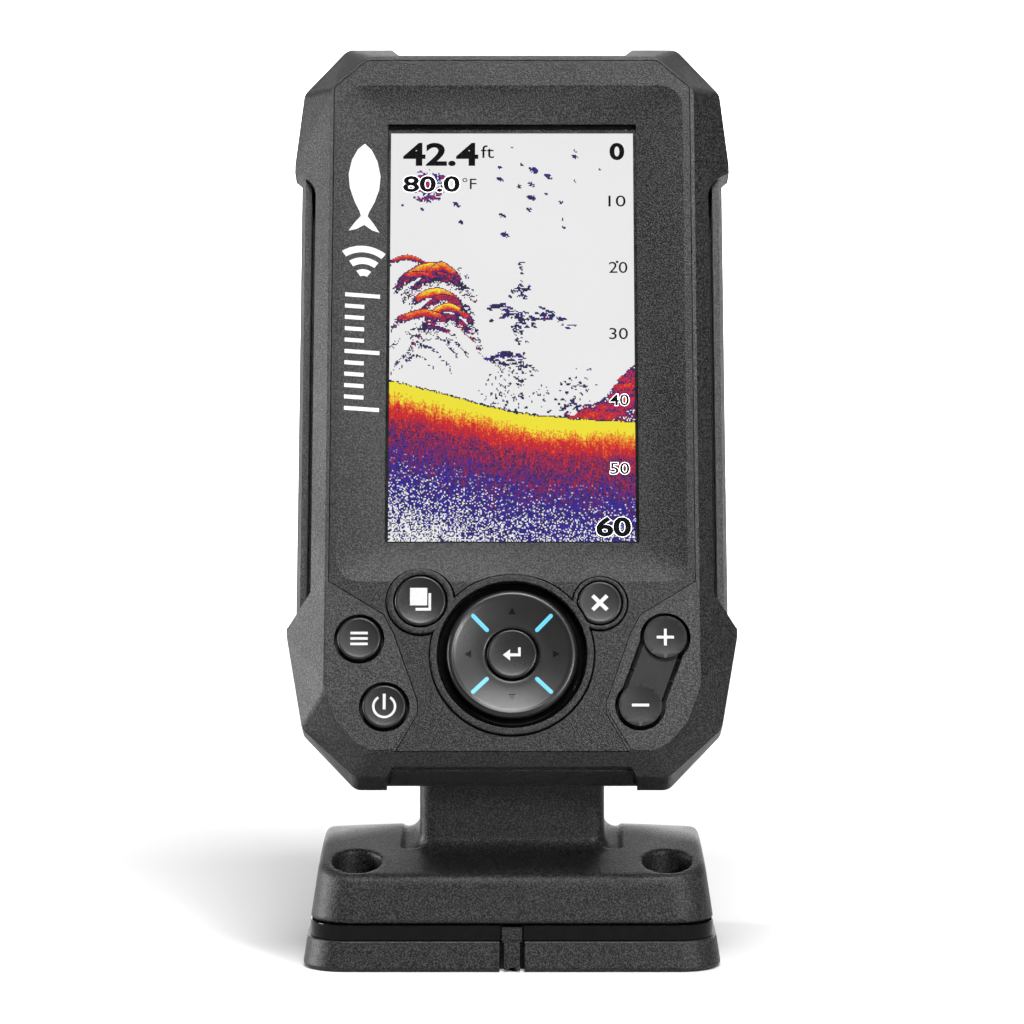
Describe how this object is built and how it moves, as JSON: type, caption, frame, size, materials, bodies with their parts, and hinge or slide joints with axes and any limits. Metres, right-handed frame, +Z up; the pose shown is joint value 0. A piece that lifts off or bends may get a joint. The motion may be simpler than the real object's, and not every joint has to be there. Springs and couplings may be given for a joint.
{
  "type": "fish finder",
  "caption": "Portrait colour fish finder: leaning display head with round keys, a rocking direction ring and a zoom rocker, on a tilt-and-swivel deck bracket with screw wells.",
  "frame": {"origin": "centre of the foot plate's deck face", "axes": "+Z up away from the deck, the screen faces -Y and leans back, +X to the right of someone facing the screen"},
  "size_m": [0.0976, 0.0791, 0.2006],
  "materials": {
    "case_plastic": "fine spark-eroded grain",
    "fascia_plastic": "fine grain, slightly lighter",
    "key_plastic": "smooth satin",
    "gloss_black": "polished",
    "lens": "clear",
    "display": "lit colour panel",
    "tray": "pressed sheet",
    "silicone": "moulded",
    "circuit_board": "solder resist",
    "steel": "stainless",
    "brass": "plated contacts and insert",
    "polyimide": "flexible film",
    "light_pipe": "clear blue, lit",
    "acetal": "natural, waxy"
  },
  "bodies": {
    "foot": {"foot_plate": "case_plastic", "slip_plate": "gloss_black", "wave_washer": "steel", "latch_spring": "steel"},
    "swivel": {"bracket": "case_plastic", "neck": "case_plastic", "neck_screws": "steel", "tilt_bushes": "acetal", "swivel_bolt": "steel", "swivel_insert": "brass"},
    "head": {"front_frame": "case_plastic", "fascia": "fascia_plastic", "keypad_surround": "fascia_plastic", "window_lens": "lens", "lcd_panel": "display", "backlight_tray": "tray", "keypad_mat": "silicone", "keypad_board": "circuit_board", "dome_switches": "steel", "main_board": "circuit_board", "shield_can": "steel", "ribbon_cable": "polyimide", "sounder": "key_plastic", "case_gasket": "silicone", "rear_case": "case_plastic", "case_screws": "steel", "cable_socket": "gloss_black", "socket_pins": "brass", "socket_seal": "silicone", "vent_plug": "silicone", "tilt_cradle": "case_plastic", "cradle_screws": "steel", "tilt_bolt": "steel", "tilt_nut": "steel", "friction_washers": "silicone"},
    "latch": {"latch_tab": "case_plastic"},
    "pages": {"pages_key": "key_plastic"},
    "menu": {"menu_key": "key_plastic"},
    "power": {"power_key": "key_plastic"},
    "exit": {"exit_key": "key_plastic"},
    "enter": {"enter_key": "key_plastic"},
    "zoom": {"zoom_rocker": "key_plastic"},
    "dpad_gimbal": {"dpad_cradle": "silicone"},
    "dpad": {"dpad_ring": "key_plastic", "dpad_lights": "light_pipe"}
  },
  "joints": [
    {"name": "swivel_turn", "type": "hinge", "parent": "foot", "child": "swivel", "pos_m": [0, 0, 0.0102], "axis": [0, 0, 1], "range_deg": [-60, 60]},
    {"name": "head_tilt", "type": "hinge", "parent": "swivel", "child": "head", "pos_m": [0, 0, 0.058], "axis": [1, 0, 0], "range_deg": [-35, 18]},
    {"name": "latch_press", "type": "slide", "parent": "foot", "child": "latch", "axis": [0, 1, 0], "range_m": [0, 0.0008], "stiffness_N_per_m": 900, "springref_m": -0.0005},
    {"name": "pages_press", "type": "slide", "parent": "head", "child": "pages", "axis": [0, 0.9397, -0.342], "range_m": [0, 0.0008], "stiffness_N_per_m": 1200, "springref_m": -0.0004},
    {"name": "menu_press", "type": "slide", "parent": "head", "child": "menu", "axis": [0, 0.9397, -0.342], "range_m": [0, 0.0008], "stiffness_N_per_m": 1200, "springref_m": -0.0004},
    {"name": "power_press", "type": "slide", "parent": "head", "child": "power", "axis": [0, 0.9397, -0.342], "range_m": [0, 0.0008], "stiffness_N_per_m": 1200, "springref_m": -0.0004},
    {"name": "exit_press", "type": "slide", "parent": "head", "child": "exit", "axis": [0, 0.9397, -0.342], "range_m": [0, 0.0008], "stiffness_N_per_m": 1200, "springref_m": -0.0004},
    {"name": "enter_press", "type": "slide", "parent": "head", "child": "enter", "axis": [0, 0.9397, -0.342], "range_m": [0, 0.0008], "stiffness_N_per_m": 1200, "springref_m": -0.0004},
    {"name": "zoom_rock", "type": "hinge", "parent": "head", "child": "zoom", "pos_m": [0.03018, -0.03347, 0.06545], "axis": [0.9391, -0.1175, -0.3228], "range_deg": [-3, 3], "stiffness_Nm_per_rad": 0.6},
    {"name": "dpad_rock_up_down", "type": "hinge", "parent": "head", "child": "dpad_gimbal", "pos_m": [0, -0.03351, 0.06945], "axis": [1, 0, 0], "range_deg": [-3, 3], "stiffness_Nm_per_rad": 0.8},
    {"name": "dpad_rock_left_right", "type": "hinge", "parent": "dpad_gimbal", "child": "dpad", "pos_m": [0, -0.03351, 0.06945], "axis": [0, 0.342, 0.9397], "range_deg": [-3, 3], "stiffness_Nm_per_rad": 0.8}
  ]
}
